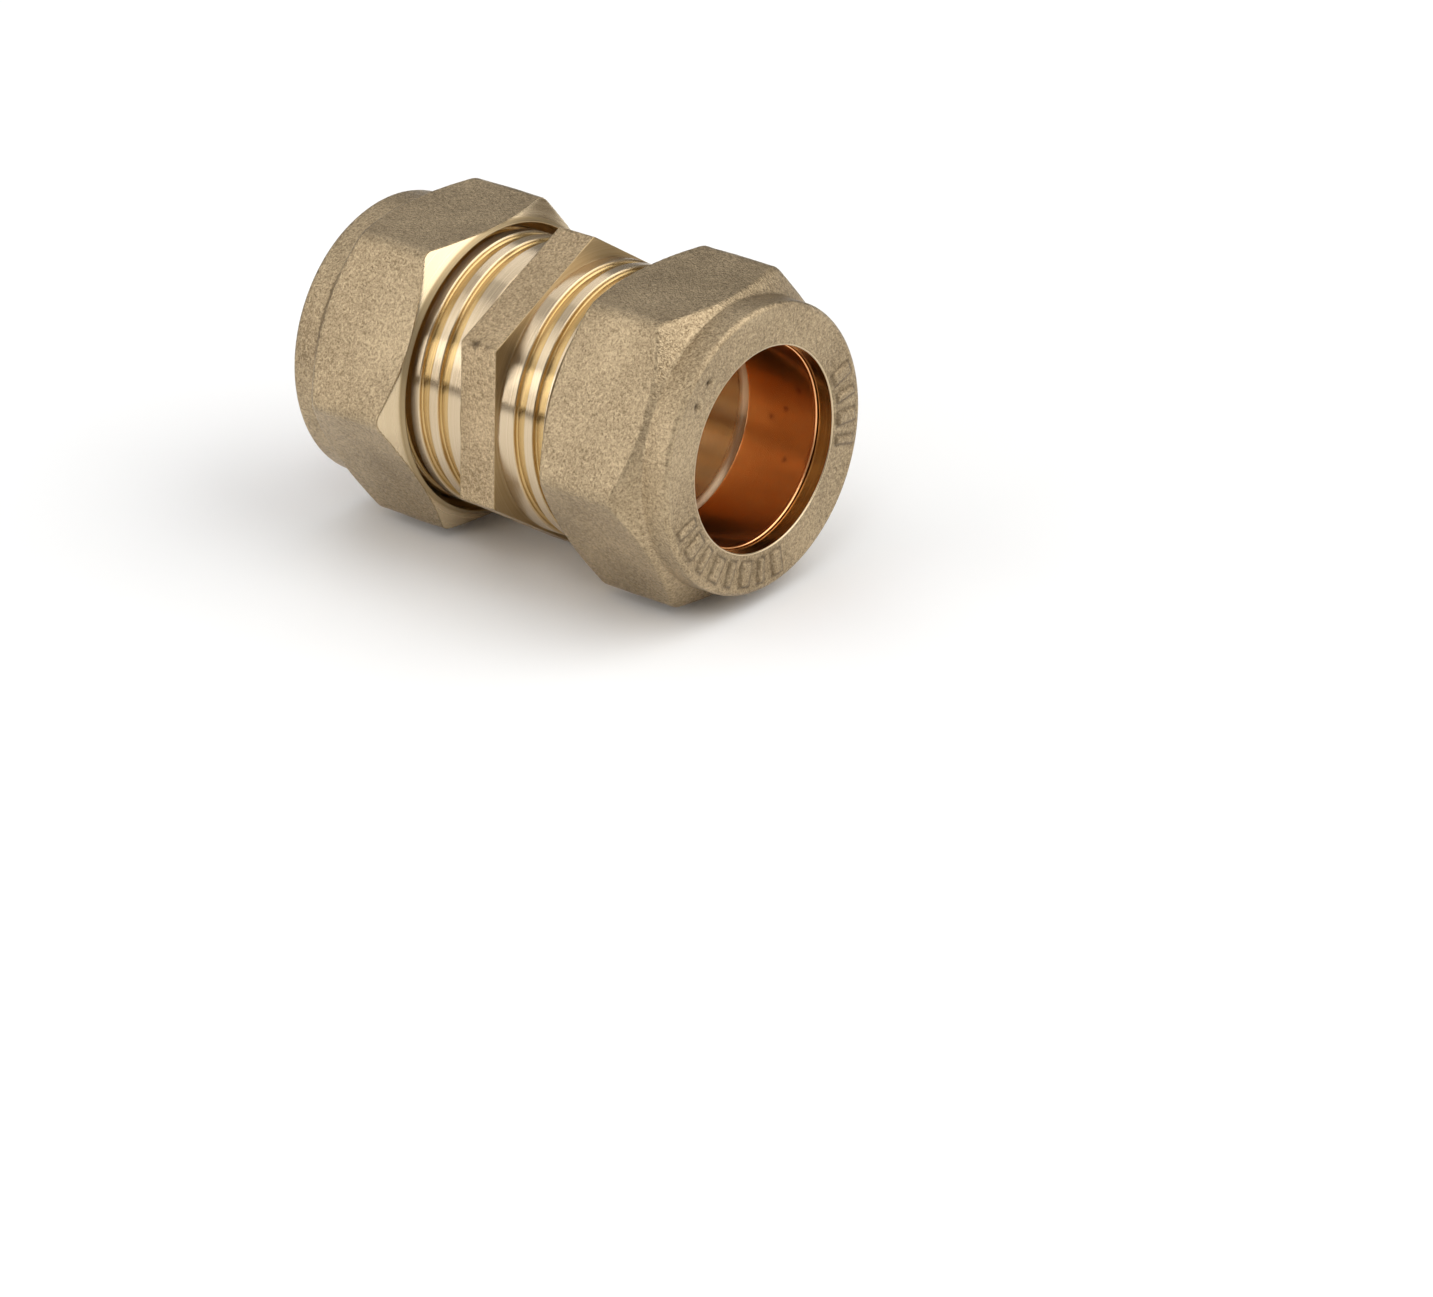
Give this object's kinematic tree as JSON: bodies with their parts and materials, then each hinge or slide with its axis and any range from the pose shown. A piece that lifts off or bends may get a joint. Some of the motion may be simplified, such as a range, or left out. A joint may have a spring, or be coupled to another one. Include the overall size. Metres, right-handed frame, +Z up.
{
  "type": "compression coupling",
  "caption": "Straight brass compression coupling for joining two 15 mm pipes, with a hexagon nut and a copper olive at each end.",
  "frame": {"origin": "middle of the body's hexagon, on the pipe axis", "axes": "+X along the pipe axis out of the front socket, +Z up, with a flat of each nut level at the bottom"},
  "size_m": [0.0366, 0.0256, 0.0242],
  "materials": {
    "body_brass": "turned threads and faces, forged matt flats on the hexagon",
    "nut_brass": "forged, matt and finely grained, with turned bright chamfers and bores",
    "olive_copper": "drawn copper, smooth"
  },
  "bodies": {
    "coupling_body": {"coupling_body": "body_brass"},
    "front_olive": {"front_olive": "olive_copper"},
    "front_nut": {"front_nut": "nut_brass"},
    "rear_olive": {"rear_olive": "olive_copper"},
    "rear_nut": {"rear_nut": "nut_brass"}
  },
  "joints": [
    {"name": "front_olive_slide", "type": "slide", "parent": "coupling_body", "child": "front_olive", "axis": [1, 0, 0], "range_m": [0, 0.00363]},
    {"name": "front_nut_turn", "type": "hinge", "parent": "front_olive", "child": "front_nut", "pos_m": [0, 0, 0], "axis": [1, 0, 0], "range_deg": [0, 720]},
    {"name": "rear_olive_slide", "type": "slide", "parent": "coupling_body", "child": "rear_olive", "axis": [-1, 0, 0], "range_m": [0, 0.00363]},
    {"name": "rear_nut_turn", "type": "hinge", "parent": "rear_olive", "child": "rear_nut", "pos_m": [0, 0, 0], "axis": [-1, 0, 0], "range_deg": [0, 720]}
  ],
  "couplings": [
    {"joint": "front_olive_slide", "follows": "front_nut_turn", "m_per_rad": 0.00028871},
    {"joint": "rear_olive_slide", "follows": "rear_nut_turn", "m_per_rad": 0.00028871}
  ]
}
